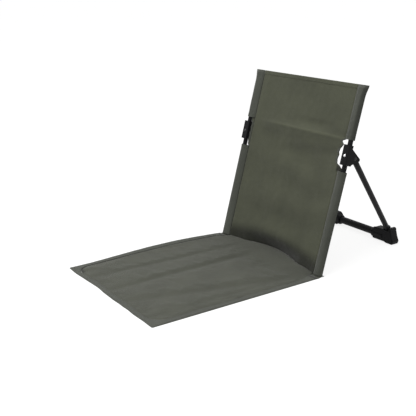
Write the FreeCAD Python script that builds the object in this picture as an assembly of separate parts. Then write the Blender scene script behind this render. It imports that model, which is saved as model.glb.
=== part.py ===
import FreeCAD, Part
import math
import os

V = FreeCAD.Vector
os.makedirs("parts", exist_ok=True)

# A floor chair: a cloth back on two leaning poles, held by a folding stand behind,
# and a seat mat that lies on the floor and folds up onto the back.
# Millimetres. +X is the sitter's left, +Y the rear, +Z up. The origin is on the floor,
# midway between the poles, where seat and back are sewn together.

# Back poles
pole_spacing = 380.0        # between the two pole axes
pole_diameter = 12.0
pole_wall = 1.0
pole_length = 448.0
back_angle = 75.5           # lean of the back, in degrees from the floor
pole_foot_height = 6.5      # lower end of a pole's axis above the floor
cap_flange = 1.8
cap_plug_length = 12.0
cap_plug_clearance = 0.1
sole_gap = 0.1              # between a pole's lower cap and its sleeve's end

# Rear stand, in the open position
leg_diameter = 14.0
leg_wall = 1.2
leg_open_angle = 58.0       # between a leg and its pole, seen from the side
leg_toe_in = 13.5           # each leg leans inwards below its bend
leg_bend_distance = 17.0    # from the pivot to the start of the bend
leg_bend_radius = 25.0
tube_diameter = 20.0        # cross tube on the floor
tube_wall = 1.2
tube_axis_height = 16.5
tube_below_leg = 10.8       # cross tube's axis below the plane of the two legs
tube_length = 192.0

# Brackets on the poles
pivot_height = 286.0        # along the pole, from its lower end
pivot_behind = 18.0         # behind the pole's axis
cheek_wall = 2.6
leg_side_gap = 0.4          # between a leg and each cheek
bracket_below_pivot = 19.5
bracket_above_pivot = 29.0
bracket_front_wall = 3.9
bracket_lip = 2.0           # thickness of the two rings that close round the pole
bracket_lip_height = 4.5
stop_wall = 2.4             # web that a leg rests against when open
stop_gap = 0.3
pole_fit = 0.1              # bracket bore over pole, on the radius
bracket_edge_fillet = 2.2
stop_short_of_bend = 1.5    # the web ends this far before a leg's bend
stop_tip_radius = 4.0
cheek_below_leg = 1.0       # how far the cheeks reach under an open leg
cheek_foot_back = 3.0       # lower corner of the cheeks, back from the web's end
arch_rise = 3.5             # hollow between the pole and the cheeks' lower corner

# Rivets
pivot_pin_diameter = 5.0
pin_clearance = 0.06
pin_head_diameter = 9.0
pin_head_height = 1.3
front_rivet_diameter = 4.0
front_rivet_head = 7.0
front_rivet_head_height = 1.6
front_rivet_above_pivot = 3.0
front_rivet_tail = 1.5      # blind end inside the pole
leg_rivet_above_end = 11.0
leg_rivet_pad_radius = 3.6  # flat pad for the rivet's head on the round boss
leg_rivet_pad_rise = 0.8
stand_rivet_diameter = 3.2
stand_rivet_head = 6.0
stand_rivet_head_height = 1.1

# Shoes at the ends of the cross tube
shoe_socket_wall = 4.1
socket_fit = 0.1
socket_seat_depth = 34.5    # how far the cross tube reaches into a shoe
shoe_thickness = 26.0
shoe_heel_reach = 46.0      # outer end of the shoe beyond the end of the cross tube
shoe_top_height = 44.5
shoe_sole_gap = 2.2         # under the shoe, inwards of the heel that touches the floor
socket_bevel = 1.4
socket_root = 6.0           # the socket's round wall runs this far past the end of the tube
collar_length = 7.0         # of the socket that stands inwards of the shoe's body
collar_drop = 1.5
lobe_rise = 5.2             # top of the body, over the socket
lobe_slope = 8.0
pocket_inner = 14.0         # from the leg's axis to the inner foot of the rise round its pocket
pocket_rise = 5.5
pocket_wall = 5.0           # from the leg's axis to the inner and outer corners of the rise's top
pocket_wall_drop = 4.0
pocket_outer = 12.0
outer_corner = 18.0
outer_corner_drop = 2.0
outer_wall_reach = 19.0
outer_wall_drop = 9.0
heel_slope = 6.0
heel_height = 9.0
heel_round = 3.0
heel_sole = 24.0            # length of the heel's face on the floor
sole_slope = 8.0
shoe_corner_fillet = 4.0
shoe_edge_fillet = 3.0
leg_boss_wall = 2.6
leg_boss_height = 17.0      # above the leg's lower end, along the leg
leg_boss_root = 9.0         # below it
leg_boss_chamfer = 1.2
leg_pocket_fit = 0.15
leg_end_height = 31.0       # centre of a leg's lower end above the floor

# Cloth of the back
cloth = 0.9                 # one layer as sewn, with its coating
hem_thickness = 2.0
sleeve_width = 31.0         # flat width across both tips
sleeve_beyond_pole = 12.0   # outer tip of a sleeve beyond the pole's axis
sleeve_pole_gap = 0.35
sleeve_tip = 1.0            # half thickness at the two pressed edges
sleeve_inner_tip = 0.2      # the same of the hollow inside
lower_sleeve_gap = 16.5     # from a lower sleeve up to the bracket
upper_sleeve_gap = 12.0     # from the bracket up to an upper sleeve
cloth_above_pole = 9.0      # from the end of a pole to the top edge of the cloth
top_hem_depth = 16.0
ear_reach = 5.0             # the top corners stick out this far beyond the sleeve
ear_length = 45.0
ear_press = 0.35            # share of a sleeve's depth that is left at its closed top
belly_depth = 8.0           # how far the back cloth hangs behind the poles
upper_belly_depth = 2.9     # the same above the crease
crease_below_sleeve = 9.0   # crease across the back, below the upper sleeves' start
crease_tilt = 0.035         # its right end is lower
sag_floor = 0.3             # the cloth is never quite flat between the poles
crease_spread = 60.0
sag_bands = 12              # strips of cloth below the crease
upper_sag_bands = 4
cut_out_depth = 10.5        # of the cloth beside a bracket, from the sleeve's seam
cut_out_hem = 6.0

# Seat mat
seat_inset = 1.5            # edge of the mat inwards of the sleeves' outer tips
seat_length = 457.0         # from the fold line to the front edge
fold_line = -13.0           # where the seat folds, in front of the poles
fold_gap = 0.3
seat_cloth = 0.8
seat_crest = 7.0            # top of the soft ridges above the floor
seat_valley = 4.6
seat_ridges = 5
seat_rise_length = 60.0     # over which the ridges rise from the front and the rear
seat_front_swell = 0.4      # share of their height at the front hem
seat_rear_swell = 0.75
side_hem_width = 16.0
front_hem_width = 14.0
seat_hem_thickness = 2.4
seat_hem_fillet = 0.95
filling_inset = 1.0         # at the front and rear of the cover
seat_cover_step = 0.4       # the cover stands this much above the hems
band_thickness = 1.0        # sewn joint of seat and back, under the poles
band_rear = 7.0

# Worked out from the sizes above
pole_radius = pole_diameter / 2
leg_radius = leg_diameter / 2
tube_radius = tube_diameter / 2
half_spacing = pole_spacing / 2
bracket_half_width = leg_radius + leg_side_gap + cheek_wall
bracket_front = pole_radius + bracket_front_wall
bracket_bore = pole_radius + pole_fit
bracket_low = pivot_height - bracket_below_pivot
bracket_high = pivot_height + bracket_above_pivot
lower_sleeve_end = bracket_low - lower_sleeve_gap
upper_sleeve_start = bracket_high + upper_sleeve_gap
back_cloth_top = pole_length + cloth_above_pole
lean = math.radians(back_angle)
opening = math.radians(leg_open_angle)
toe_in = math.radians(leg_toe_in)


def leaned(shape):
    """Turn a shape drawn along an upright pole into the leaning back."""
    shape.rotate(V(0, 0, 0), V(1, 0, 0), back_angle - 90)
    shape.translate(V(0, 0, pole_foot_height))
    return shape


def leaned_vector(behind, along):
    """A direction given behind and along the pole, in the chair's own axes."""
    return V(0, along * math.cos(lean) + behind * math.sin(lean),
             along * math.sin(lean) - behind * math.cos(lean))


def mirrored(shape):
    return shape.mirror(V(0, 0, 0), V(1, 0, 0))


def tube(radius, wall, base, direction, length):
    outer = Part.makeCylinder(radius, length, base, direction)
    return outer.cut(Part.makeCylinder(radius - wall, length, base, direction))


def closed_face(edges):
    return Part.Face(Part.Wire(edges))


def line(start, end):
    return Part.LineSegment(start, end).toShape()


def arc(start, middle, end):
    return Part.Arc(start, middle, end).toShape()


def rivet(base, direction, shank_radius, shank_length, head_radius, head_height):
    """A turned rivet or plug: a low domed head on base, pointing along direction, and its shank behind."""
    dome = (head_radius ** 2 + head_height ** 2) / (2 * head_height)
    half_turn = math.asin(head_radius / dome) / 2
    middle = V(dome * math.sin(half_turn), 0, head_height - dome + dome * math.cos(half_turn))
    rim = V(head_radius, 0, 0)
    crown = V(0, 0, head_height)
    tail = V(0, 0, -shank_length)
    shank = V(shank_radius, 0, 0)
    edges = [line(tail, tail + shank), line(tail + shank, shank), line(shank, rim), arc(rim, middle, crown),
             line(crown, tail)]
    shape = closed_face(edges).revolve(V(0, 0, 0), V(0, 0, 1), 360)
    shape.Placement = FreeCAD.Placement(base, FreeCAD.Rotation(V(0, 0, 1), direction))
    return shape


# Back frame


def pole(side):
    return leaned(tube(pole_radius, pole_wall, V(side * half_spacing, 0, 0), V(0, 0, 1), pole_length))


def pole_cap(side, top):
    direction = V(0, 0, 1 if top else -1)
    end = V(side * half_spacing, 0, pole_length if top else 0)
    plug_radius = pole_radius - pole_wall - cap_plug_clearance
    return leaned(rivet(end, direction, plug_radius, cap_plug_length, pole_radius, cap_flange))


def cheek_outline(x):
    """Side of a bracket, from its front bottom corner round by the top and the stop web."""
    stop_distance = leg_radius + stop_gap + stop_wall
    out = V(0, math.cos(opening), math.sin(opening))
    down_leg = V(0, math.sin(opening), -math.cos(opening))
    pivot = V(x, pivot_behind, pivot_height)
    top_rear = V(x, pole_radius / 2, bracket_high)
    web = pivot + out * stop_distance
    stop_top = web - down_leg * ((web.y - top_rear.y) / down_leg.y)
    mouth = leg_bend_distance - stop_short_of_bend
    tip_centre = web - out * stop_tip_radius + down_leg * (mouth - stop_tip_radius)
    stop_end = tip_centre + out * stop_tip_radius
    nose = tip_centre + down_leg * stop_tip_radius
    nose_round = tip_centre + (out + down_leg) * (stop_tip_radius * math.sqrt(0.5))
    leg_foot = pivot - out * (leg_radius + cheek_below_leg) + down_leg * (mouth - cheek_foot_back)
    arch_top = V(x, pivot_behind - leg_radius, bracket_low + arch_rise)
    arch_foot = V(x, pole_radius + bracket_lip, bracket_low)
    front_low = V(x, -bracket_front, bracket_low)
    front_high = V(x, -bracket_front, bracket_high)
    return [line(front_low, front_high), line(front_high, top_rear), line(top_rear, stop_top),
            line(stop_top, stop_end), arc(stop_end, nose_round, nose), line(nose, leg_foot),
            arc(leg_foot, arch_top, arch_foot), line(arch_foot, front_low)]


def leg_slot():
    """Room for a leg between the cheeks, open below and behind and closed above by the stop web."""
    out = V(0, math.cos(opening), math.sin(opening))
    down_leg = V(0, math.sin(opening), -math.cos(opening))
    web = V(0, pivot_behind, pivot_height) + out * (leg_radius + stop_gap)
    reach = bracket_high - bracket_low
    top = V(0, 0, web.z + web.y / math.tan(opening))
    far = web + down_leg * reach
    below = bracket_low - reach
    corners = [top, far, V(0, far.y, below), V(0, 0, below), top]
    half = leg_radius + leg_side_gap
    slot = Part.Face(Part.makePolygon(corners)).extrude(V(2 * half, 0, 0))
    slot.translate(V(half_spacing - half, 0, 0))
    return slot


def front_rivet_hole(side):
    base = V(side * half_spacing, -bracket_front - 1, pivot_height + front_rivet_above_pivot)
    return Part.makeCylinder(front_rivet_diameter / 2, bracket_front + 1, base, V(0, 1, 0))


def bracket(side):
    """Channel that wraps the front of the pole and holds a leg between two cheeks behind it."""
    block = closed_face(cheek_outline(half_spacing - bracket_half_width))
    block = block.extrude(V(2 * bracket_half_width, 0, 0))
    front_edges = [edge for edge in block.Edges
                   if edge.BoundBox.YMax < -bracket_front + 0.01 and edge.BoundBox.ZLength > 1]
    block = block.makeFillet(bracket_edge_fillet, front_edges).cut(leg_slot())
    for low in (bracket_low, bracket_high - bracket_lip_height):
        ring = Part.makeCylinder(pole_radius + bracket_lip, bracket_lip_height, V(half_spacing, 0, low))
        block = block.fuse(ring)
    bore = Part.makeCylinder(bracket_bore, bracket_high - bracket_low + 2, V(half_spacing, 0, bracket_low - 1))
    pin_hole = Part.makeCylinder(pivot_pin_diameter / 2, 4 * bracket_half_width,
                                 V(half_spacing - 2 * bracket_half_width, pivot_behind, pivot_height), V(1, 0, 0))
    block = block.cut(bore).cut(pin_hole).cut(front_rivet_hole(1)).removeSplitter()
    block = leaned(block)
    return block if side > 0 else mirrored(block)


def drilled_pole(side):
    """Pole with the hole for its bracket's front rivet."""
    return pole(side).cut(leaned(front_rivet_hole(side)))


def front_rivet(side):
    face = V(side * half_spacing, -bracket_front, pivot_height + front_rivet_above_pivot)
    grip = bracket_front - pole_radius + pole_wall + front_rivet_tail
    return leaned(rivet(face, V(0, -1, 0), front_rivet_diameter / 2, grip, front_rivet_head / 2,
                        front_rivet_head_height))


def leg_pin(side):
    """Rivet that a leg turns on, with a head on the outer cheek and a closed head on the inner one."""
    outer_face = V(half_spacing + bracket_half_width, pivot_behind, pivot_height)
    inner_face = outer_face - V(2 * bracket_half_width, 0, 0)
    outer = rivet(outer_face, V(1, 0, 0), pivot_pin_diameter / 2, 2 * bracket_half_width,
                  pin_head_diameter / 2, pin_head_height)
    inner = rivet(inner_face, V(-1, 0, 0), pivot_pin_diameter / 2, cheek_wall,
                  pin_head_diameter / 2, pin_head_height)
    pin = leaned(outer.fuse(inner).removeSplitter())
    return pin if side > 0 else mirrored(pin)


# Rear stand

pivot_point = leaned_vector(pivot_behind, pivot_height) + V(half_spacing, 0, pole_foot_height)
leg_run = leaned_vector(math.sin(opening), -math.cos(opening))
leg_out = leaned_vector(math.cos(opening), math.sin(opening))
leg_slant = leg_run * math.cos(toe_in) - V(1, 0, 0) * math.sin(toe_in)
tube_reach = (pivot_point.z - tube_below_leg * leg_out.z - tube_axis_height) / -leg_run.z
tube_axis = pivot_point + leg_run * tube_reach - leg_out * tube_below_leg
bend_start = pivot_point + leg_run * leg_bend_distance
bend_length = leg_bend_radius * math.tan(toe_in / 2)
bend_corner = bend_start + leg_run * bend_length
bend_end = bend_corner + leg_slant * bend_length
leg_end = bend_corner + leg_slant * ((bend_corner.z - leg_end_height) / -leg_slant.z)
shoe_mouth = tube_length / 2 - socket_seat_depth


def along_leg(radius):
    """Round bar along a leg: straight through the bracket, a short bend inwards, straight to the shoe."""
    top = pivot_point - leg_run * leg_radius
    stub = Part.makeCylinder(radius, leg_radius + leg_bend_distance, top, leg_run)
    inwards = V(-1, 0, 0)
    centre = bend_start + inwards * leg_bend_radius
    ring = Part.Face(Part.Wire(Part.makeCircle(radius, bend_start, leg_run)))
    bend = ring.revolve(centre, leg_run.cross(inwards), leg_toe_in)
    lower = Part.makeCylinder(radius, (leg_end - bend_end).Length, bend_end, leg_slant)
    return stub.fuse([bend, lower]).removeSplitter()


def leg_end_trim():
    """What is cut off a leg's upper end, so that it is round about the pivot and turns under the stop web."""
    across = V(leg_diameter, 0, 0)
    side = leg_out * leg_diameter
    above = leg_run * -leg_diameter
    start = pivot_point - across
    corners = [start - side, start + side, start + side + above, start - side + above, start - side]
    block = Part.Face(Part.makePolygon(corners)).extrude(across * 2)
    return block.cut(Part.makeCylinder(leg_radius, 2 * leg_diameter, start, V(1, 0, 0)))


def leg(side):
    pin_hole = Part.makeCylinder(pivot_pin_diameter / 2 + pin_clearance, 3 * leg_diameter,
                                 pivot_point - V(1.5 * leg_diameter, 0, 0), V(1, 0, 0))
    shape = along_leg(leg_radius).cut(along_leg(leg_radius - leg_wall)).cut(leg_end_trim())
    shape = shape.cut(pin_hole).cut(leg_rivet_hole())
    return shape if side > 0 else mirrored(shape)


def leg_rivet_base():
    """Point on a leg's axis where its rivet goes through the shoe."""
    return leg_end - leg_slant * leg_rivet_above_end


def leg_rear():
    """Direction square to the leg, up and to the rear, where the shoe's boss stands free."""
    sideways = V(1, 0, 0) - leg_slant * leg_slant.x
    rear = leg_slant.cross(sideways).normalize()
    return rear if rear.y > 0 else rear * -1


def leg_rivet_seat():
    """Distance of the rivet's head from the leg's axis."""
    return leg_radius + leg_boss_wall + leg_rivet_pad_rise


def leg_rivet_hole():
    return Part.makeCylinder(stand_rivet_diameter / 2, leg_rivet_seat() + 1, leg_rivet_base(), leg_rear())


def cross_tube():
    base = V(-tube_length / 2, tube_axis.y, tube_axis_height)
    shape = tube(tube_radius, tube_wall, base, V(1, 0, 0), tube_length)
    for side in (1, -1):
        shape = shape.cut(tube_rivet_hole(side))
    return shape


def tube_rivet_x():
    return shoe_mouth + socket_seat_depth / 2


def tube_rivet_hole(side):
    """Hole through the rear of the socket and the rear wall of the cross tube."""
    return Part.makeCylinder(stand_rivet_diameter / 2, tube_radius + shoe_socket_wall + 1,
                             V(side * tube_rivet_x(), tube_axis.y, tube_axis_height), V(0, 1, 0))


def shoe_body():
    """Upright moulding of the right shoe: its front outline with every edge rounded."""
    front = tube_axis.y - shoe_thickness / 2
    inner = shoe_mouth + collar_length
    heel = tube_length / 2 + shoe_heel_reach
    sole = heel - heel_sole
    crown = tube_axis_height + tube_radius + shoe_socket_wall
    leg_x = leg_end.x
    top = shoe_top_height
    outline = [(inner, shoe_sole_gap), (inner, crown - collar_drop), (inner + lobe_slope, crown + lobe_rise),
               (leg_x - pocket_inner, crown + pocket_rise), (leg_x + pocket_wall, top - pocket_wall_drop),
               (leg_x + pocket_outer, top), (leg_x + outer_corner, top - outer_corner_drop),
               (leg_x + outer_wall_reach, top - outer_wall_drop), (heel - heel_slope, top / 2),
               (heel, heel_height), (heel - heel_round, 0), (sole, 0), (sole - sole_slope, shoe_sole_gap)]
    points = [V(x, front, z) for x, z in outline]
    body = Part.Face(Part.makePolygon(points + points[:1])).extrude(V(0, shoe_thickness, 0))
    corners = [edge for edge in body.Edges if edge.BoundBox.YLength > 1]
    body = body.makeFillet(shoe_corner_fillet, corners)
    rims = [edge for edge in body.Edges if edge.BoundBox.YLength < 0.01]
    return body.makeFillet(shoe_edge_fillet, rims)


def leg_boss():
    """Round boss up the leg from the shoe, with a flat pad for the rivet."""
    root = leg_end + leg_slant * leg_boss_root
    boss = Part.makeCylinder(leg_radius + leg_boss_wall, leg_boss_root + leg_boss_height, root, leg_slant * -1)
    pad = Part.makeCylinder(leg_rivet_pad_radius, leg_rivet_seat(), leg_rivet_base(), leg_rear())
    return boss.fuse(pad)


def leg_pocket():
    """Blind bore that the leg stands in, with a chamfer at its mouth."""
    radius = leg_radius + leg_pocket_fit
    bore = Part.makeCylinder(radius, shoe_top_height, leg_end, leg_slant * -1)
    mouth = leg_end - leg_slant * (leg_boss_height - leg_boss_chamfer)
    chamfer = Part.makeCone(radius, radius + 2 * leg_boss_chamfer, 2 * leg_boss_chamfer, mouth, leg_slant * -1)
    return bore.fuse(chamfer)


def tube_socket():
    """Round socket of the cross tube, with a lead-in at its mouth."""
    outer = tube_radius + shoe_socket_wall
    root = tube_length / 2 + socket_root
    profile = Part.makePolygon([
        V(shoe_mouth, 0, 0), V(shoe_mouth, 0, outer - socket_bevel), V(shoe_mouth + 2 * socket_bevel, 0, outer),
        V(root, 0, outer), V(root, 0, 0), V(shoe_mouth, 0, 0)])
    socket = Part.Face(profile).revolve(V(0, 0, 0), V(1, 0, 0), 360)
    socket.translate(V(0, tube_axis.y, tube_axis_height))
    return socket


def shoe(side):
    """Moulding that joins a leg to the cross tube and stands on its outer heel."""
    shape = shoe_body().fuse([tube_socket(), leg_boss()])
    bore = Part.makeCylinder(tube_radius + socket_fit, socket_seat_depth + 1,
                             V(shoe_mouth - 1, tube_axis.y, tube_axis_height), V(1, 0, 0))
    floor_cut = Part.makeBox(tube_length, 2 * shoe_thickness, tube_diameter,
                             V(shoe_mouth, tube_axis.y - shoe_thickness, -tube_diameter))
    shape = shape.cut(bore).cut(leg_pocket()).cut(floor_cut)
    shape = shape.cut(tube_rivet_hole(1)).cut(leg_rivet_hole()).removeSplitter()
    return shape if side > 0 else mirrored(shape)


def tube_rivet(side):
    face = V(side * tube_rivet_x(), tube_axis.y + tube_radius + shoe_socket_wall, tube_axis_height)
    return rivet(face, V(0, 1, 0), stand_rivet_diameter / 2, shoe_socket_wall + tube_wall,
                 stand_rivet_head / 2, stand_rivet_head_height)


def leg_rivet(side):
    face = leg_rivet_base() + leg_rear() * leg_rivet_seat()
    shape = rivet(face, leg_rear(), stand_rivet_diameter / 2, leg_rivet_seat() - leg_radius + leg_wall,
                  stand_rivet_head / 2, stand_rivet_head_height)
    return shape if side > 0 else mirrored(shape)


# Cloth of the back

sleeve_outer_tip = half_spacing + sleeve_beyond_pole
sleeve_middle = sleeve_outer_tip - sleeve_width / 2
sleeve_hold = pole_radius + sleeve_pole_gap + cloth
sleeve_curve = ((sleeve_width / 2) ** 2 + sleeve_hold ** 2 - (half_spacing - sleeve_middle) ** 2) / (2 * sleeve_hold)
sleeve_curve_drop = math.sqrt(sleeve_curve ** 2 - (sleeve_width / 2) ** 2)
sleeve_half_depth = sleeve_curve - sleeve_curve_drop
sleeve_seam = sleeve_middle - math.sqrt(sleeve_curve ** 2 - (sleeve_curve_drop + sleeve_tip) ** 2)
seat_width = 2 * (sleeve_outer_tip - seat_inset)
sleeve_foot = (band_thickness - pole_foot_height + sleeve_half_depth * math.cos(lean)) / math.sin(lean)


def lens(along, wall, squeeze, reach):
    """Section of a sleeve: two arcs that meet at the seam and at the outer edge."""
    radius = sleeve_curve - wall
    tip = sleeve_tip if wall == 0 else sleeve_inner_tip
    half = math.sqrt(radius ** 2 - (sleeve_curve_drop + tip) ** 2)
    top = (radius - sleeve_curve_drop) * squeeze
    inner = V(sleeve_middle - half, 0, along)
    outer = V(sleeve_middle + half + reach, 0, along)
    rise = V(0, tip, 0)
    middle = V(sleeve_middle, 0, along)
    return Part.Wire([arc(inner - rise, middle - V(0, top, 0), outer - rise), line(outer - rise, outer + rise),
                      arc(outer + rise, middle + V(0, top, 0), inner + rise), line(inner + rise, inner - rise)])


def sleeve(side, start, end, cavity_start, cavity_end, ear):
    """A tube of cloth round the pole, pressed flat and drawn out at a free corner."""
    shoulder = cavity_end + cloth
    if ear:
        swell = ear * (shoulder - end + ear_length) / ear_length
        sections = [(start, 1, 0), (end - ear_length, 1, 0), (shoulder, 1, swell), (end, ear_press, ear)]
        outer = Part.makeLoft([lens(s, 0, squeeze, reach) for s, squeeze, reach in sections], True, True)
    else:
        outer = Part.Face(lens(start, 0, 1, 0)).extrude(V(0, 0, end - start))
    cavity = Part.Face(lens(cavity_start, cloth, 1, 0)).extrude(V(0, 0, cavity_end - cavity_start))
    shape = leaned(outer.cut(cavity))
    return shape if side > 0 else mirrored(shape)


def upper_sleeve(side):
    pole_top = pole_length + cap_flange + sleeve_pole_gap
    return sleeve(side, upper_sleeve_start, back_cloth_top, upper_sleeve_start - 1, pole_top, ear_reach)


def lower_sleeve(side):
    pole_bottom = -cap_flange - sole_gap
    return sleeve(side, sleeve_foot, lower_sleeve_end, pole_bottom, lower_sleeve_end + 1, 0)


def sag(along, low, high):
    """How far the cloth hangs behind the poles: a deep belly below the crease, a shallow one above."""
    crease = crease_height()
    if along < crease:
        share = (along - low) / (crease - low)
        return belly_depth * math.sqrt(max(0.0, math.sin(math.pi * share)))
    share = (along - crease) / (high - crease)
    return upper_belly_depth * math.sin(math.pi * share)


def crease_height():
    return upper_sleeve_start - crease_below_sleeve


def back_section(along, low, high, thickness):
    """One level of the hanging cloth, from sleeve to sleeve."""
    tilt = -crease_tilt * max(0.0, 1 - abs(along - crease_height()) / crease_spread)
    rear = V(0, thickness / 2, 0)
    left = V(-sleeve_seam, 0, along - tilt * sleeve_seam)
    right = V(sleeve_seam, 0, along + tilt * sleeve_seam)
    middle = V(0, sag(along, low, high) + sag_floor, along)
    return Part.Wire([arc(left - rear, middle - rear, right - rear), line(right - rear, right + rear),
                      arc(right + rear, middle + rear, left + rear), line(left + rear, left - rear)])


def back_sheet(thickness):
    low = back_cloth_bottom()
    crease = crease_height()
    levels = [low + (crease - low) * (1 - math.cos(math.pi * band / sag_bands)) / 2 for band in range(sag_bands)]
    levels += [crease + (back_cloth_top - crease) * band / upper_sag_bands for band in range(upper_sag_bands + 1)]
    sections = [back_section(along, low, back_cloth_top, thickness) for along in levels]
    return Part.makeLoft(sections, True, True)


def cut_out(side, margin):
    """Prism through the cloth beside a bracket, from the lower to the upper sleeve."""
    depth = (cut_out_depth + margin) * side
    start = V(side * sleeve_seam, -sleeve_width, lower_sleeve_end - margin)
    end = V(side * sleeve_seam, -sleeve_width, upper_sleeve_start + margin)
    middle = (start + end) * 0.5 - V(depth, 0, 0)
    beyond = V(side * cut_out_depth, 0, 0)
    outline = [arc(start, middle, end), line(end, end + beyond), line(end + beyond, start + beyond),
               line(start + beyond, start)]
    return closed_face(outline).extrude(V(0, 2 * sleeve_width, 0))


def back_cloth_bottom():
    """Where the middle of the back cloth meets the sewn joint on the floor."""
    return (band_thickness - pole_foot_height) / math.sin(lean)


def slab(low, high):
    """All that lies between two heights, in a box wider and deeper than the back."""
    return Part.makeBox(2 * pole_spacing, 2 * pole_spacing, high - low, V(-pole_spacing, -pole_spacing, low))


def back_panel():
    sheet = back_sheet(cloth)
    for side in (1, -1):
        sheet = sheet.cut(cut_out(side, cut_out_hem))
    sheet = sheet.cut(slab(back_cloth_top - top_hem_depth, back_cloth_top + top_hem_depth))
    return leaned(sheet).cut(slab(band_thickness - top_hem_depth, band_thickness))


def top_hem():
    strip = slab(back_cloth_top - top_hem_depth, back_cloth_top + top_hem_depth)
    return leaned(back_sheet(hem_thickness).common(strip))


def cut_out_binding(side):
    strip = cut_out(side, cut_out_hem).cut(cut_out(side, 0))
    return leaned(back_sheet(hem_thickness).common(strip))


# Seat mat


def seat_front():
    return fold_line - fold_gap / 2 - seat_length


def seat_rear():
    return fold_line - fold_gap / 2


def mat_section(y, base, top_drop, swell):
    """Cross-section of the padded mat: a flat base and a row of soft ridges."""
    half = seat_width / 2 - side_hem_width
    pitch = 2 * half / seat_ridges
    edge_height = seat_hem_thickness + seat_cover_step - top_drop
    edges = [line(V(-half, y, edge_height), V(-half, y, base)), line(V(-half, y, base), V(half, y, base)),
             line(V(half, y, base), V(half, y, edge_height))]
    valley = seat_hem_thickness + (seat_valley - seat_hem_thickness) * swell - top_drop
    crest = seat_hem_thickness + (seat_crest - seat_hem_thickness) * swell - top_drop
    for ridge in range(seat_ridges):
        x = half - ridge * pitch
        start = edge_height if ridge == 0 else valley
        end = edge_height if ridge == seat_ridges - 1 else valley
        edges.append(arc(V(x, y, start), V(x - pitch / 2, y, crest), V(x - pitch, y, end)))
    return Part.Wire(edges)


def mat_body(base, top_drop, inset):
    front = seat_front() + front_hem_width
    rear = seat_rear()
    stations = [(front + inset, seat_front_swell), (front + seat_rise_length, 1), (rear - seat_rise_length, 1),
                (rear - inset, seat_rear_swell)]
    return Part.makeLoft([mat_section(y, base, top_drop, swell) for y, swell in stations], True, True)


def seat_filling():
    return mat_body(seat_cloth, seat_cloth, filling_inset)


def seat_cover():
    return mat_body(seat_cloth, 0, 0).cut(seat_filling())


def seat_under_cloth():
    half = seat_width / 2 - side_hem_width
    front = seat_front() + front_hem_width
    return Part.makeBox(2 * half, seat_rear() - front, seat_cloth, V(-half, front, 0))


def rounded_strip(length_x, length_y, corner):
    strip = Part.makeBox(length_x, length_y, seat_hem_thickness, corner)
    top = corner.z + seat_hem_thickness
    edges = [edge for edge in strip.Edges if edge.BoundBox.ZMin > top - 0.01]
    return strip.makeFillet(seat_hem_fillet, edges)


def seat_side_hem(side):
    corner = V(seat_width / 2 - side_hem_width, seat_front(), 0)
    shape = rounded_strip(side_hem_width, seat_length, corner)
    return shape if side > 0 else mirrored(shape)


def seat_front_hem():
    half = seat_width / 2 - side_hem_width
    return rounded_strip(2 * half, front_hem_width, V(-half, seat_front(), 0))


def joint_band():
    """Band of cloth under the poles that joins the seat to the back."""
    front = fold_line + fold_gap / 2
    return Part.makeBox(seat_width, band_rear - front, band_thickness, V(-seat_width / 2, front, 0))


nodes = {
    "pole_right": drilled_pole(1),
    "pole_left": drilled_pole(-1),
    "pole_top_cap_right": pole_cap(1, True),
    "pole_top_cap_left": pole_cap(-1, True),
    "pole_bottom_cap_right": pole_cap(1, False),
    "pole_bottom_cap_left": pole_cap(-1, False),
    "bracket_right": bracket(1),
    "bracket_left": bracket(-1),
    "bracket_rivets": Part.makeCompound([front_rivet(1), front_rivet(-1)]),
    "leg_pin_right": leg_pin(1),
    "leg_pin_left": leg_pin(-1),
    "leg_right": leg(1),
    "leg_left": leg(-1),
    "cross_tube": cross_tube(),
    "shoe_right": shoe(1),
    "shoe_left": shoe(-1),
    "tube_rivets": Part.makeCompound([tube_rivet(1), tube_rivet(-1)]),
    "leg_rivets": Part.makeCompound([leg_rivet(1), leg_rivet(-1)]),
    "back_panel": back_panel(),
    "top_hem": top_hem(),
    "cut_out_binding_right": cut_out_binding(1),
    "cut_out_binding_left": cut_out_binding(-1),
    "upper_sleeve_right": upper_sleeve(1),
    "upper_sleeve_left": upper_sleeve(-1),
    "lower_sleeve_right": lower_sleeve(1),
    "lower_sleeve_left": lower_sleeve(-1),
    "joint_band": joint_band(),
    "seat_cover": seat_cover(),
    "seat_filling": seat_filling(),
    "seat_under_cloth": seat_under_cloth(),
    "seat_side_hem_right": seat_side_hem(1),
    "seat_side_hem_left": seat_side_hem(-1),
    "seat_front_hem": seat_front_hem(),
}

for name, shape in nodes.items():
    solids = shape.Solids
    if not shape.isValid() or not solids:
        raise ValueError(name + " is not a valid solid")
    shape.exportStep(os.path.join("parts", name + ".step"))
    box = shape.BoundBox
    print(name, len(solids), round(shape.Volume), [round(v, 1) for v in (
        box.XMin, box.XMax, box.YMin, box.YMax, box.ZMin, box.ZMax)])
print("cross tube axis at y", round(tube_axis.y, 1), "leg end", [round(v, 1) for v in leg_end])
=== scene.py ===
import math
import bmesh
import bpy
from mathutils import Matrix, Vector, noise


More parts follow.
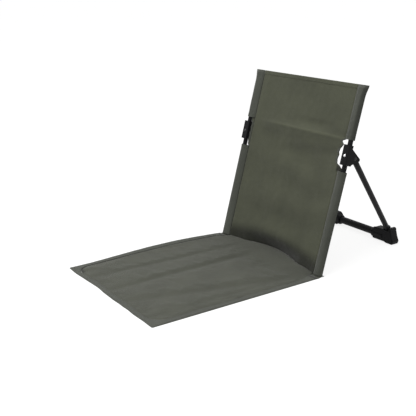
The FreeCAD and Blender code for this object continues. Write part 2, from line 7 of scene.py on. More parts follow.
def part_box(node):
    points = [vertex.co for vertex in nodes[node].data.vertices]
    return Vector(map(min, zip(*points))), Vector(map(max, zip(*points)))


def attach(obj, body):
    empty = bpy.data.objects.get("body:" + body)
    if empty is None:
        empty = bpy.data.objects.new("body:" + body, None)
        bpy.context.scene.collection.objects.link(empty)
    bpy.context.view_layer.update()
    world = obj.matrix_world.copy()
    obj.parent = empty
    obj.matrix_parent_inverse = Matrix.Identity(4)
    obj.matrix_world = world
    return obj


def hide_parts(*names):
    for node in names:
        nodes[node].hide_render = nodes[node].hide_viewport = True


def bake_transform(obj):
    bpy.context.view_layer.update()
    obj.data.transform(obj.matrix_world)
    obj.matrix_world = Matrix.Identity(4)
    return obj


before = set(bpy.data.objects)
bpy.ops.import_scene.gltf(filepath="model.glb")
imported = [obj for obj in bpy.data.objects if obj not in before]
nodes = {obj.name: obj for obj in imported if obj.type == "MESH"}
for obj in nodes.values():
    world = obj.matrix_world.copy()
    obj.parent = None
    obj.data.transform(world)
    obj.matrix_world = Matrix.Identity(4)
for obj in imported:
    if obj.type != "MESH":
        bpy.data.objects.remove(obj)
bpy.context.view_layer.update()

print("frame loaded:", len(nodes), "nodes")


# places read from the frame

def span(name, direction):  # lowest and highest place of a node along a direction
    places = [v.co.dot(direction) for v in nodes[name].data.vertices]
    return min(places), max(places)


def middleOf(name):
    low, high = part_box(name)
    return (low + high) / 2


right = Vector((1, 0, 0))
poleFoot = middleOf("pole_bottom_cap_right")
poleHead = middleOf("pole_top_cap_right")
alongPole = (poleHead - poleFoot).normalized()
behindPole = right.cross(alongPole) * -1
poleX = poleFoot.x
poleRear = poleFoot.dot(behindPole)
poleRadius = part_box("pole_right")[1].x - poleX
seamX = span("back_panel", right)[1]
tipX = span("lower_sleeve_right", right)[1]
earX = span("upper_sleeve_right", right)[1]
lowerSleeve = span("lower_sleeve_right", alongPole)
upperSleeve = span("upper_sleeve_right", alongPole)
backFoot = span("back_panel", alongPole)[0]
backHead = span("top_hem", alongPole)[1]
topHemDepth = 0.011           # no deeper than this
topHemFoot = max(span("top_hem", alongPole)[0], backHead - topHemDepth)
seatHalf = span("seat_side_hem_right", right)[1]
panelHalf = span("seat_cover", right)[1]
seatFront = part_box("seat_front_hem")[0].y
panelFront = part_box("seat_cover")[0].y
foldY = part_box("seat_cover")[1].y
bandFront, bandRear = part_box("joint_band")[0].y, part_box("joint_band")[1].y
bandSide = max(v.co.y for v in nodes["joint_band"].data.vertices if v.co.x > seatHalf - 0.0005)
print("back leans", round(math.degrees(math.asin(alongPole.z)), 1), "degrees")


def backPoint(x, rear, along):  # across, behind the pole axes, up the pole
    return right * x + behindPole * (poleRear + rear) + alongPole * along


def smooth(t):
    t = min(1.0, max(0.0, t))
    return t * t * (3 - 2 * t)


def hill(t):  # 1 at 0, falling softly to 0 at -1 and 1
    return (1 - min(1.0, abs(t)) ** 2) ** 2


def waver(x, y, size, seed):  # smooth chance between -1 and 1, with waves of about this size
    return noise.noise(Vector((x / size, y / size, seed)))


def spread(low, high, count):
    return [low + (high - low) * step / (count - 1) for step in range(count)]


# mesh making

def addObject(name, data):
    piece = bpy.data.objects.new(name, data)
    bpy.context.scene.collection.objects.link(piece)
    return piece


def makeMesh(name, points, faces, uvs=None, marks=None):
    mesh = bpy.data.meshes.new(name)
    mesh.from_pydata([tuple(p) for p in points], [], faces)
    if uvs is not None:
        layer = mesh.uv_layers.new(name="cloth")
        for loop in mesh.loops:
            layer.data[loop.index].uv = uvs[loop.vertex_index]
    for label, values in (marks or {}).items():
        mesh.attributes.new(label, "FLOAT", "POINT").data.foreach_set("value", values)
    mesh.polygons.foreach_set("use_smooth", [True] * len(mesh.polygons))
    mesh.update()
    return addObject(name, mesh)


def faceOutwards(piece):  # a closed mesh whose faces agree is turned as a whole
    shape = bmesh.new()
    shape.from_mesh(piece.data)
    if shape.calc_volume(signed=True) < 0:
        bmesh.ops.reverse_faces(shape, faces=shape.faces[:])
    shape.to_mesh(piece.data)
    shape.free()
    return piece


def gridFaces(columns, rows, closed=False, first=0):  # quads of a grid whose points run across first
    faces = []
    for row in range(rows - 1):
        for column in range(columns if closed else columns - 1):
            beside = (column + 1) % columns
            low = first + row * columns
            faces.append((low + column, low + beside, low + columns + beside, low + columns + column))
    return faces


def closedGridFaces(wide, high):  # a grid's front, its back, and the quads round its edge
    count = wide * high
    faces = gridFaces(wide, high)
    faces += [tuple(count + corner for corner in reversed(face)) for face in faces]
    edge = list(range(wide)) + [j * wide + wide - 1 for j in range(1, high)]
    edge += [(high - 1) * wide + i for i in range(wide - 2, -1, -1)]
    edge += [j * wide for j in range(high - 2, 0, -1)]
    for here, there in zip(edge, edge[1:] + edge[:1]):
        faces.append((here, count + here, count + there, there))
    return faces


def clothSheet(name, columns, rows, surface, thickness, uvPlace, marks=None):
    # a closed sheet: surface(column, row) is its middle, and thickness(column, row) may vary
    wide, high = len(columns), len(rows)
    middle = [[surface(column, row) for column in columns] for row in rows]
    points, uvs = [], []
    values = {label: [] for label in marks or {}}
    for side in (1, -1):
        for j, row in enumerate(rows):
            for i, column in enumerate(columns):
                across = middle[j][min(i + 1, wide - 1)] - middle[j][max(i - 1, 0)]
                along = middle[min(j + 1, high - 1)][i] - middle[max(j - 1, 0)][i]
                normal = across.cross(along).normalized()
                points.append(middle[j][i] + normal * (side * thickness(column, row) / 2))
                uvs.append(uvPlace(column, row))
                for label, rule in (marks or {}).items():
                    values[label].append(rule(column, row))
    return faceOutwards(makeMesh(name, points, closedGridFaces(wide, high), uvs, values))


def dress(piece, material, body=None, replaced=()):
    piece.data.materials.clear()
    piece.data.materials.append(material)
    if body:
        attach(piece, body)
    if replaced:
        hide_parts(*replaced)
    return piece


# materials

def newMaterial(name):
    material = bpy.data.materials.new(name)
    material.use_nodes = True
    tree = material.node_tree
    return material, tree, tree.nodes["Principled BSDF"]


def node(tree, kind, **settings):
    made = tree.nodes.new(kind)
    for key, value in settings.items():
        setattr(made, key, value)
    return made


def mathNode(tree, operation, first, second=None, clamp=False):
    made = node(tree, "ShaderNodeMath", operation=operation, use_clamp=clamp)
    for place, value in enumerate((first, second)):
        if value is None:
            continue
        if isinstance(value, (int, float)):
            made.inputs[place].default_value = value
        else:
            tree.links.new(value, made.inputs[place])
    return made.outputs[0]


def scaledNode(tree, value, factor, offset):
    made = mathNode(tree, "MULTIPLY_ADD", value, factor)
    made.node.inputs[2].default_value = offset
    return made


def noiseNode(tree, coordinates, scale, detail=2.0, roughness=0.5):
    made = node(tree, "ShaderNodeTexNoise")
    made.inputs["Scale"].default_value = scale
    made.inputs["Detail"].default_value = detail
    made.inputs["Roughness"].default_value = roughness
    tree.links.new(coordinates, made.inputs["Vector"])
    return made.outputs["Fac"]


def rampNode(tree, value, stops):
    made = node(tree, "ShaderNodeValToRGB")
    ramp = made.color_ramp
    while len(ramp.elements) < len(stops):
        ramp.elements.new(0.5)
    for element, (place, colour) in zip(ramp.elements, stops):
        element.position = place
        element.color = (*colour, 1)
    tree.links.new(value, made.inputs["Fac"])
    return made.outputs["Color"]


def bumpNode(tree, height, distance, strength=1.0, normal=None):
    made = node(tree, "ShaderNodeBump")
    made.inputs["Distance"].default_value = distance
    made.inputs["Strength"].default_value = strength
    tree.links.new(height, made.inputs["Height"])
    if normal is not None:
        tree.links.new(normal, made.inputs["Normal"])
    return made.outputs["Normal"]


clothLook = {
    "thread": 0.00062,       # between two threads
    "weaveDepth": 0.00012,
    "weaveBump": 0.8,
    "weaveShade": (0.22, 0.86),      # share that varies, and what is left between the threads
    "sheen": 0.25,
    "sheenRoughness": 0.4,
    "specular": 0.3,
    "roughness": 0.82,
    "roughnessSpread": 0.14,
    "backColour": (0.080, 0.085, 0.056),
    "sleeveColour": (0.077, 0.082, 0.067),
    "seatColour": (0.083, 0.0875, 0.0675),
    "hemColour": (0.090, 0.095, 0.079),
    "mottle": 14.0,          # cloudy patches per metre
    "mottleShade": (0.86, 1.12),     # darkest and lightest patches
    "speckles": 900.0,
    "speckleShade": (0.3, 0.85),
    "highlighted": 1.55,            # colour of a painted highlight, and of a painted deep shade
    "shaded": 0.25,
    "softness": 60.0,        # small dents per metre
    "softDepth": 0.0006,
}


def timesColour(factor, colour):
    return tuple(min(1.0, factor * channel) for channel in colour)


def clothMaterial(name, colour):
    # plain-woven polyester: threads over and under, uneven dye, painted highlights on ridges and folds,
    # painted shade in hollows
    look = clothLook
    material, tree, shader = newMaterial(name)
    link = tree.links.new
    uv = node(tree, "ShaderNodeUVMap", uv_map="cloth").outputs["UV"]
    parts = node(tree, "ShaderNodeSeparateXYZ")
    link(uv, parts.inputs[0])
    across = mathNode(tree, "MULTIPLY", parts.outputs["X"], 1 / look["thread"])
    along = mathNode(tree, "MULTIPLY", parts.outputs["Y"], 1 / look["thread"])
    warp = mathNode(tree, "ABSOLUTE", mathNode(tree, "SINE", mathNode(tree, "MULTIPLY", across, math.pi)))
    weft = mathNode(tree, "ABSOLUTE", mathNode(tree, "SINE", mathNode(tree, "MULTIPLY", along, math.pi)))
    cell = mathNode(tree, "ADD", mathNode(tree, "FLOOR", across), mathNode(tree, "FLOOR", along))
    over = mathNode(tree, "ABSOLUTE", mathNode(tree, "MODULO", cell, 2.0))
    under = mathNode(tree, "SUBTRACT", 1.0, over)
    warpOver = mathNode(tree, "MULTIPLY", warp, over)
    weave = mathNode(tree, "ADD", warpOver, mathNode(tree, "MULTIPLY", weft, under))
    coordinates = node(tree, "ShaderNodeTexCoord").outputs["Object"]
    patches = noiseNode(tree, coordinates, look["mottle"], 4.0, 0.6)
    specks = noiseNode(tree, uv, look["speckles"], 2.0, 0.7)
    dark, light = (timesColour(share, colour) for share in look["mottleShade"])
    base = rampNode(tree, patches, ((0.3, dark), (0.7, light)))
    shade = scaledNode(tree, weave, *look["weaveShade"])
    tone = mathNode(tree, "MULTIPLY", shade, scaledNode(tree, specks, *look["speckleShade"]))
    mixed = node(tree, "ShaderNodeMix", data_type="RGBA", blend_type="MULTIPLY")
    mixed.inputs["Factor"].default_value = 1.0
    link(base, mixed.inputs["A"])
    grey = node(tree, "ShaderNodeCombineColor")
    for channel in grey.inputs:
        link(tone, channel)
    link(grey.outputs[0], mixed.inputs["B"])
    # painted highlight on the crease ridge and hem folds, then painted shade, both from the cloth's
    # attributes
    highlighted = node(tree, "ShaderNodeMix", data_type="RGBA")
    highlighted.inputs["B"].default_value = (*timesColour(look["highlighted"], colour), 1)
    paintedHighlight = node(tree, "ShaderNodeAttribute", attribute_name="paintedHighlight").outputs["Fac"]
    link(mathNode(tree, "MULTIPLY", paintedHighlight, specks, clamp=True), highlighted.inputs["Factor"])
    link(mixed.outputs["Result"], highlighted.inputs["A"])
    shaded = node(tree, "ShaderNodeMix", data_type="RGBA")
    shaded.inputs["B"].default_value = (*timesColour(look["shaded"], colour), 1)
    link(highlighted.outputs["Result"], shaded.inputs["A"])
    link(node(tree, "ShaderNodeAttribute", attribute_name="shade").outputs["Fac"], shaded.inputs["Factor"])
    link(shaded.outputs["Result"], shader.inputs["Base Color"])
    change = look["roughnessSpread"]
    link(scaledNode(tree, patches, change, look["roughness"] - change / 2), shader.inputs["Roughness"])
    soft = bumpNode(tree, noiseNode(tree, coordinates, look["softness"], 3.0), look["softDepth"], 0.5)
    link(bumpNode(tree, weave, look["weaveDepth"], look["weaveBump"], soft), shader.inputs["Normal"])
    shader.inputs["Sheen Weight"].default_value = look["sheen"]
    shader.inputs["Sheen Roughness"].default_value = look["sheenRoughness"]
    shader.inputs["Specular IOR Level"].default_value = look["specular"]
    return material


hardLook = {
    "coatedTube": {"colour": (0.0060, 0.0060, 0.0068), "roughness": 0.5, "grain": 2600.0, "depth": 3e-5},
    "mouldedNylon": {"colour": (0.0065, 0.0065, 0.0072), "roughness": 0.55, "grain": 1500.0, "depth": 5e-5},
    "darkRivet": {"colour": (0.012, 0.012, 0.013), "roughness": 0.35, "grain": 3000.0, "depth": 1e-5},
    "brightRivet": {"colour": (0.72, 0.72, 0.74), "roughness": 0.28, "grain": 2500.0, "depth": 1e-5},
    "threadDark": {"colour": (0.05, 0.053, 0.04), "roughness": 0.7, "grain": 4000.0, "depth": 4e-5},
    "threadPale": {"colour": (0.10, 0.105, 0.085), "roughness": 0.7, "grain": 4000.0, "depth": 4e-5},
}
hardClouds = {"scale": 45.0, "dark": 0.8, "light": 1.3, "roughnessSpread": 0.2}
hardSpecular = {"metal": 0.5, "coated": 0.12}


def hardMaterial(name, metallic=0.0):  # powder coat, nylon or rivet steel: fine grain, cloudy gloss
    look = hardLook[name]
    material, tree, shader = newMaterial(name)
    coordinates = node(tree, "ShaderNodeTexCoord").outputs["Object"]
    clouds = noiseNode(tree, coordinates, hardClouds["scale"], 4.0, 0.6)
    dark = timesColour(hardClouds["dark"], look["colour"])
    light = timesColour(hardClouds["light"], look["colour"])
    link = tree.links.new
    link(rampNode(tree, clouds, ((0.35, dark), (0.7, light))), shader.inputs["Base Color"])
    change = hardClouds["roughnessSpread"]
    link(scaledNode(tree, clouds, change, look["roughness"] - change / 2), shader.inputs["Roughness"])
    grain = noiseNode(tree, coordinates, look["grain"], 2.0, 0.6)
    link(bumpNode(tree, grain, look["depth"], 0.6), shader.inputs["Normal"])
    shader.inputs["Metallic"].default_value = metallic
    shader.inputs["Specular IOR Level"].default_value = hardSpecular["metal" if metallic else "coated"]
    return material


backMaterial = clothMaterial("backCloth", clothLook["backColour"])
sleeveMaterial = clothMaterial("sleeveCloth", clothLook["sleeveColour"])
seatMaterial = clothMaterial("seatCloth", clothLook["seatColour"])
hemMaterial = clothMaterial("hemCloth", clothLook["hemColour"])
threadDark = hardMaterial("threadDark")
threadPale = hardMaterial("threadPale")
coatedTube = hardMaterial("coatedTube")
mouldedNylon = hardMaterial("mouldedNylon")
darkRivet = hardMaterial("darkRivet", 0.6)
brightRivet = hardMaterial("brightRivet", 1.0)


def shadeFarRivet(material):  # painted shade: the far bracket's rivet is made dark and dull, so that only the near one shows its highlight
    tree = material.node_tree
    shader = tree.nodes["Principled BSDF"]
    parts = node(tree, "ShaderNodeSeparateXYZ")
    tree.links.new(node(tree, "ShaderNodeTexCoord").outputs["Object"], parts.inputs[0])
    nearSide = mathNode(tree, "GREATER_THAN", parts.outputs["X"], 0.0)
    mixed = node(tree, "ShaderNodeMix", data_type="RGBA")
    mixed.inputs["A"].default_value = (*hardLook["darkRivet"]["colour"], 1)
    tree.links.new(nearSide, mixed.inputs["Factor"])
    tree.links.new(shader.inputs["Base Color"].links[0].from_socket, mixed.inputs["B"])
    tree.links.new(mixed.outputs["Result"], shader.inputs["Base Color"])
    tree.links.new(nearSide, shader.inputs["Metallic"])


shadeFarRivet(brightRivet)


def hardFinish(name):  # by the words of a node's name
    words = name.split("_")
    if name == "bracket_rivets":
        return brightRivet
    if "pin" in words or "rivets" in words:
        return darkRivet
    if words[0] in ("pole", "leg", "cross") and "cap" not in words:
        return coatedTube
    return mouldedNylon


for name, part in nodes.items():
    part.data.materials.clear()
    part.data.materials.append(hardFinish(name))
print("hard pieces finished")


# stitches are gathered here and made at the end, one mesh for each body

stitchLines = []


def stitch(points, body, slot, material):
    stitchLines.append({"points": points, "body": body, "slot": slot, "material": material})


# back cloth

backShape = {
    "columns": 124,
    "bandHeight": 0.0031,     # between two rows of points
    "thickness": 0.0009,
    "underSleeve": 0.002,     # the cloth runs on under the sleeves' edges
    "belly": 0.0066,          # how far the cloth hangs behind the poles
    "upperBelly": 0.0036,
    "crest": 0.0023,          # soft waves of the belly
    "wave": 0.092,            # between two of them
    "firstCrest": 0.048,      # up the poles
    "slant": 0.19,            # the waves below the crease run down to the right
    "slantMiddle": 0.25,
    "slantReach": 0.13,
    "creasePull": 0.0070,     # how far the crease is pulled forward
    "creaseAbove": 0.009,
    "creaseBelow": 0.016,
    "creaseFade": -0.165,     # it fades out towards this place on the left
    "creaseFadeLength": 0.07,
    "ridge": 0.0052,          # half width of its painted highlight along the ridge
    "ridgeFade": 0.16,
    "hollow": {"depth": 0.0044, "up": 0.14, "upHalf": 0.13, "across": 0.08, "acrossHalf": 0.11},
    "tuck": 0.024,            # the foot of the cloth runs back under itself
    "sideTuck": 0.004,
    "tuckHeight": 0.050,
    "footHeight": 0.0015,     # the tucked cloth lies on the sewn joint
    "ripples": ((0.0008, 0.5, 0.045, 3.0), (0.0004, 1.0, 0.014, 5.0)),  # height, share along, size, seed
    "rippleFade": 0.12,       # towards the seams
    "seamGroove": 0.0011,
    "seamGrooveHalf": 0.004,
    "seamLine": 0.0021,       # half width of the painted shade line along it
    "pucker": 0.00025,
    "puckerPitch": 0.0021,
    "puckerHalf": 0.012,
}
betweenLegs = 0.112           # the joint runs back only as far across as this, clear of the folded legs
cutOuts = {  # beside each bracket: depth inwards of the seam, its two ends, how far the edge lifts
    1: {"depth": 0.0098, "from": 0.011, "to": 0.0, "lift": 0.0018},
    -1: {"depth": -0.0070, "from": 0.0, "to": 0.010, "lift": 0.0004},
}
cutOutDetail = {
    "notch": 0.0085,          # the right edge comes out again this far, under the upper sleeve
    "notchBelow": 0.0145,
    "notchHalf": 0.010,
    "corner": 0.0100,         # and is tucked to the pole above the lower sleeve
    "cornerAbove": 0.003,
    "cornerHalf": 0.011,
    "strip": 0.0045,          # the left edge reaches the pole above its bracket
    "stripAbove": 0.001,
    "stripLength": 0.004,
    "turnIn": 0.007,          # over which an edge leaves the seam
    "wave": 0.0008,
    "pitch": 0.017,
}
bracketTop = span("bracket_left", alongPole)[1]
crease = upperSleeve[0]


def cutOutPhase(along):
    return math.tau * (upperSleeve[0] - along) / cutOutDetail["pitch"]


def cutOutEdge(side, along):  # edge of the cloth, from the middle of the back
    look, detail = cutOuts[side], cutOutDetail
    outer = seamX + backShape["underSleeve"]
    up = along - lowerSleeve[1]
    inside = min(up - look["from"], upperSleeve[0] + look["to"] - along)
    depth = look["depth"] + detail["wave"] * math.cos(cutOutPhase(along)) + backShape["underSleeve"]
    if side > 0:
        depth -= detail["notch"] * hill((upperSleeve[0] - detail["notchBelow"] - along) / detail["notchHalf"])
        outer += detail["corner"] * hill((up - detail["cornerAbove"]) / detail["cornerHalf"])
    else:
        depth -= detail["strip"] * smooth((along - bracketTop - detail["stripAbove"]) / detail["stripLength"])
    return outer - depth * smooth(inside / detail["turnIn"])


def jointBow(x):  # 1 in the middle of the sewn joint, falling softly to 0 beside the legs
    return (1 - min(1.0, abs(x) / betweenLegs) ** 2) ** 1.5


def backSag(x, along):  # how far the cloth lies behind the pole axes
    look = backShape
    share = min(1.0, abs(x) / seamX)
    bow = 1 - share ** 2.6
    below = crease - along
    slant = look["slant"] * x * hill((along - look["slantMiddle"]) / look["slantReach"])
    wave = look["crest"] * math.cos(math.tau * (along + slant - look["firstCrest"]) / look["wave"])
    if below >= 0:
        full = smooth(below / 0.03)
        depth = look["belly"] * full + look["upperBelly"] * (1 - full) - wave * full
        pull = look["creasePull"] * math.exp(-below / look["creaseBelow"])
    else:
        t = -below / (backHead - crease)
        depth = look["upperBelly"] * math.sin(math.pi * (0.5 + 0.5 * t)) ** 0.7
        pull = look["creasePull"] * math.exp(below / look["creaseAbove"])
        hollow = look["hollow"]  # above the crease, on the right
        up = hill((t - hollow["up"]) / hollow["upHalf"])
        depth += hollow["depth"] * up * hill((x - hollow["across"]) / hollow["acrossHalf"])
    depth -= pull * smooth((x - look["creaseFade"]) / look["creaseFadeLength"])
    tuck = look["sideTuck"] * (1 - share ** 4) + (look["tuck"] - look["sideTuck"]) * jointBow(x)
    tuck *= 1 - smooth((along - backFoot) / look["tuckHeight"])
    grain = sum(height * waver(x, along * part, size, seed) for height, part, size, seed in look["ripples"])
    return depth * bow + tuck + grain * smooth((1 - share) / look["rippleFade"])


def seamDip(x, along):  # the cloth dives behind the sleeve's edge at its seam
    look = backShape
    near = seamX - abs(x)
    pucker = look["pucker"] * math.sin(along / look["puckerPitch"]) * hill(near / look["puckerHalf"])
    return look["seamGroove"] * hill(near / look["seamGrooveHalf"]) + pucker


def backX(column, along):
    left, rightEdge = -cutOutEdge(-1, along), cutOutEdge(1, along)
    return left + (rightEdge - left) * (column + 1) / 2


def backSurface(column, along):
    x = backX(column, along)
    place = backPoint(x, backSag(x, along) + seamDip(x, along), along)
    place.z = max(place.z, backShape["footHeight"])
    return place


# painted shade: in the crevice, in a line along each seam, in the corner under the right bracket, below the
# crease and above its right half
backPaintedShade = {
    "crevice": {"shade": 0.97, "above": 0.012, "bow": 0.016, "length": 0.038},
    "seams": {"left": 1.0, "rightLow": 0.5, "rightHigh": 0.15},
    "corner": {
        "inside": 0.010, "width": 0.006, "top": 0.013, "topLength": 0.004, "foot": 0.004, "footLength": 0.003,
    },
    "valley": {
        "shade": 0.20, "start": -0.13, "length": 0.12, "end": 0.14,
        "slope": 0.13, "below": 0.032, "half": 0.019,
    },
    "ledge": {"shade": 0.16, "start": 0.03, "length": 0.12, "above": 0.013, "half": 0.011},
}


def backShade(column, along):
    # painted shade in the crevice, along the seams, under the right bracket, below the crease and above its
    # right half
    x = backX(column, along)
    bow = 1 - min(1.0, abs(x) / seamX) ** 2
    look = backPaintedShade["crevice"]
    up = along - backFoot - look["above"] - look["bow"] * bow
    foot = look["shade"] * (1 - smooth(up / look["length"]))
    look = backPaintedShade["seams"]
    line = look["left"] if x < 0 else look["rightLow"] if along < crease else look["rightHigh"]
    line *= hill((abs(x) - seamX) / backShape["seamLine"])
    look = backPaintedShade["corner"]
    corner = smooth((x - seamX + look["inside"]) / look["width"])
    corner *= smooth((lowerSleeve[1] + look["top"] - along) / look["topLength"])
    corner *= smooth((along - lowerSleeve[1] + look["foot"]) / look["footLength"])
    look = backPaintedShade["valley"]
    below = crease - along + look["slope"] * (x - look["end"])
    dark = look["shade"] * hill((below - look["below"]) / look["half"])
    dark *= smooth((x - look["start"]) / look["length"])
    look = backPaintedShade["ledge"]
    ledge = look["shade"] * hill((along - crease - look["above"]) / look["half"])
    dark += ledge * smooth((x - look["start"]) / look["length"])
    return max(foot, corner, dark, line)


def backHighlight(column, along):  # painted highlight on the ridge of the crease
    look = backShape
    fade = smooth((backX(column, along) - look["creaseFade"]) / look["ridgeFade"])
    return hill((along - crease) / look["ridge"]) * fade


def backRows():
    count = round((backHead - backFoot) / backShape["bandHeight"])
    return spread(backFoot, backHead - 0.0006, count)


def backCloth():
    columns = [math.copysign(1 - (1 - abs(c)) ** 1.45, c) for c in spread(-1, 1, backShape["columns"])]
    thickness = backShape["thickness"]
    piece = clothSheet("back_cloth", columns, backRows(), backSurface, lambda c, r: thickness,
                       lambda column, along: (column * seamX, along), {"shade": backShade, "paintedHighlight": backHighlight})
    dress(piece, backMaterial, "back", ("back_panel",))
    return piece


hemShape = {
    "thickness": 0.0023,
    "lip": 0.0011,            # radius of its rounded fold
    "bindingWidth": 0.006,
}


def hemStrip(name, stations, width, place, replaced, material):
    # a folded edge: place(station, t) is the middle at t from 0, the stitched side, to 1, the fold
    steps = [0, 0.03, 0.08, 0.16, 0.3, 0.45, 0.6, 0.74, 0.85, 0.93, 0.98, 1.0]
    lip = hemShape["lip"] / width

    def thick(t, station):
        stitched = 0.62 + 0.38 * smooth(t / 0.22)
        fold = math.sqrt(max(0.02, 1 - max(0.0, (t - 1 + lip) / lip) ** 2))
        return hemShape["thickness"] * stitched * fold

    # painted highlight along the fold
    piece = clothSheet(name, steps, stations, lambda t, s: place(s, t), thick,
                       lambda t, s: (t * width + 0.5, s), {"paintedHighlight": lambda t, s: 0.6 * hill((t - 1) / 0.12)})
    return dress(piece, material, "back", replaced)


def topHem():
    depth = backHead - topHemFoot

    def place(x, t):
        along = topHemFoot + depth * t
        wobble = 0.0004 * waver(x, along, 0.02, 7.0)
        return backPoint(x, backSag(x, min(along, backHead)) + wobble + seamDip(x, along), along)

    piece = hemStrip("top_hem_cloth", spread(-seamX, seamX, 110), depth, place, ("top_hem",), backMaterial)
    front = [place(x, 0.12) - behindPole * 0.0011 for x in spread(-seamX + 0.004, seamX - 0.004, 40)]
    stitch(front, "back", "back_cloth", threadDark)
    return piece


def cutOutBinding(side):
    name = "right" if side > 0 else "left"
    width = hemShape["bindingWidth"]

    def place(along, t):
        x = side * (cutOutEdge(side, along) - width * (1 - t))
        lift = cutOuts[side]["lift"] * math.sin(cutOutPhase(along)) * t
        lift *= hill((along - 0.5 * (low + high)) / (0.55 * (high - low)))
        return backPoint(x, backSag(x, along) + seamDip(x, along) + lift, along)

    low, high = lowerSleeve[1] + cutOuts[side]["from"], upperSleeve[0] + 0.002
    stations = spread(low, high, 70)
    piece = hemStrip("cut_out_edge_" + name, stations, width, place,
                     ("cut_out_binding_" + name,), sleeveMaterial)
    stitch([place(s, 0.25) - behindPole * 0.0012 for s in stations[2:-2:3]], "back", "back_cloth", threadDark)
    return piece


# sleeves round the poles

sleeveShape = {
    "around": 48,
    "wall": 0.0007,
    "hold": 0.0009,           # outside of the cloth beyond the pole's surface
    "edge": 0.0010,           # half thickness of the pressed edges
    "fullness": 2.1,          # 1 is tight as a tent, 2 a round lens
    "hem": 0.010,
    "hemStep": 0.0004,
    "wrinkle": 0.00042,
    "earLength": 0.032,
    "endLength": 0.0075,      # over which the closed top is pressed flat
    "closedTop": 0.16,        # share of the depth left there
    "outerShade": {"upper": 0.60, "lower": 0.22},   # painted shade on the right, where the cloth turns round the pole away from the light
    "shadeFrom": 0.66,
    "flatHalf": 0.034,        # from seam to tip along the cloth, for the weave
}


def sleeveDepth(x, outer, squeeze, inset):  # half depth of a sleeve's section at x
    look = sleeveShape
    reach = poleX - seamX if x < poleX else outer - poleX
    share = min(1.0, abs(x - poleX) / reach)
    hold = poleRadius + look["hold"] - look["edge"]
    body = hold * (1 - share ** look["fullness"]) * squeeze
    middle, half = (seamX + outer) / 2, (outer - seamX) / 2
    edge = look["edge"] * math.sqrt(max(0.0, 1 - min(1.0, abs(x - middle) / half) ** 10))
    return max(0.00012, body + edge - inset)


def sleeve(side, upper):
    look = sleeveShape
    name = ("upper" if upper else "lower") + "_sleeve_" + ("right" if side > 0 else "left")
    low, high = upperSleeve if upper else lowerSleeve
    mouth = low if upper else high
    onward = 1 if upper else -1
    length = high - low
    half = look["around"] // 2  # points from one edge of the sleeve to the other
    seed = 11.0 + 3 * side + (7 if upper else 0)
    wrinkle = look["wrinkle"] * (2.0 if upper else 1.0)
    turnedShade = look["outerShade"]["upper" if upper else "lower"] if side > 0 else 0.0
    near = [0, 0.0006, 0.0016, 0.0035, 0.006, look["hem"] - 0.0008, look["hem"] + 0.0004]
    rows = near + spread(look["hem"] + 0.003, length - 0.012, 60 if upper else 100)
    rows += [length - t for t in (0.009, 0.0075, 0.006, 0.0045, 0.003, 0.0016, 0.0006, 0)]
    inside = [0, 0.002, 0.006, 0.012, 0.03, length / 2, length - 0.02, length - 0.0085]
    points, uvs, shades = [], [], []

    def addRing(distance, inset):
        along = mouth + onward * distance
        closing, outer = 1.0, tipX
        if upper:
            spreading = smooth((distance - length + look["earLength"]) / look["earLength"])
            outer += (earX - tipX) * spreading ** 1.6
            pressed = smooth((distance - length + look["endLength"]) / look["endLength"])
            closing = 1 - (1 - look["closedTop"]) * pressed
        hemmed = look["hemStep"] * (1 - smooth((distance - look["hem"]) / 0.001)) if inset == 0 else 0
        flare = 0.0007 * hill(distance / 0.012)
        for step in range(look["around"]):
            turn = math.tau * step / look["around"]
            share = -math.cos(turn)
            bulge = math.sin(turn) ** 2
            x = seamX + (outer - seamX) * (share + 1) / 2 - inset * share
            depth = sleeveDepth(x, outer, closing, inset) + (hemmed + flare) * bulge
            face = -1 if turn < math.pi else 1
            fold = waver(x * 3.2, along * 0.8 + face, 0.03, seed)
            fold += 0.6 * waver(x, along * 1.5 + face, 0.012, seed)
            pinch = math.sin(along / 0.0034 + 2 * waver(along, face, 0.02, seed)) * hill((x - seamX) / 0.01)
            if inset == 0:
                depth += (wrinkle * fold + 0.0002 * pinch) * bulge * closing
            bowed = 0.0006 * waver(along, face, 0.09, seed) * hill((x - outer) / 0.012)
            points.append(backPoint(side * (x + bowed), face * depth, along))
            uvs.append((seamX + look["flatHalf"] * (half - abs(half - step)) / half + face, along))
            # painted shade on the right sleeves' outer side, with faint random streaks
            streak = 0.05 * waver(x, along * 0.15, 0.004, seed + 2)
            turned = turnedShade * smooth(((share + 1) / 2 - look["shadeFrom"]) / 0.16)
            shades.append(min(1.0, max(0.0, turned + streak)))

    for distance in reversed(inside):
        addRing(distance, look["wall"])
    for distance in rows:
        addRing(distance, 0)
    count = look["around"]
    total = len(inside) + len(rows)
    faces = gridFaces(count, total, closed=True)
    for first in (0, (total - 1) * count):  # the closed ends, front against back
        strip = [(first + s, first + s + 1, first + count - s - 1, first + count - s)
                 for s in range(1, half - 1)]
        strip += [(first, first + 1, first + count - 1), (first + half - 1, first + half, first + half + 1)]
        faces += strip if first else [tuple(reversed(face)) for face in strip]
    piece = faceOutwards(makeMesh(name + "_cloth", points, faces, uvs, {"shade": shades}))
    dress(piece, sleeveMaterial, "back", (name,))
    seamDepth = look["edge"] + 0.0005
    for face in (-1, 1):
        line = [backPoint(side * (seamX + 0.0022), face * seamDepth, mouth + onward * d)
                for d in spread(0.004, length - 0.004, 60)]
        stitch(line, "back", "back_cloth", threadDark)
    hemLine = []
    for step in range(3, half - 2):
        turn = math.pi * step / half
        x = seamX + (tipX - seamX) * (1 - math.cos(turn)) / 2
        depth = sleeveDepth(x, tipX, 1, 0) + look["hemStep"] * math.sin(turn) ** 2 + 0.0002
        hemLine.append(backPoint(side * x, -depth, mouth + onward * (look["hem"] - 0.0022)))
    stitch(hemLine, "back", "back_cloth", threadDark)
    return piece


# seat mat

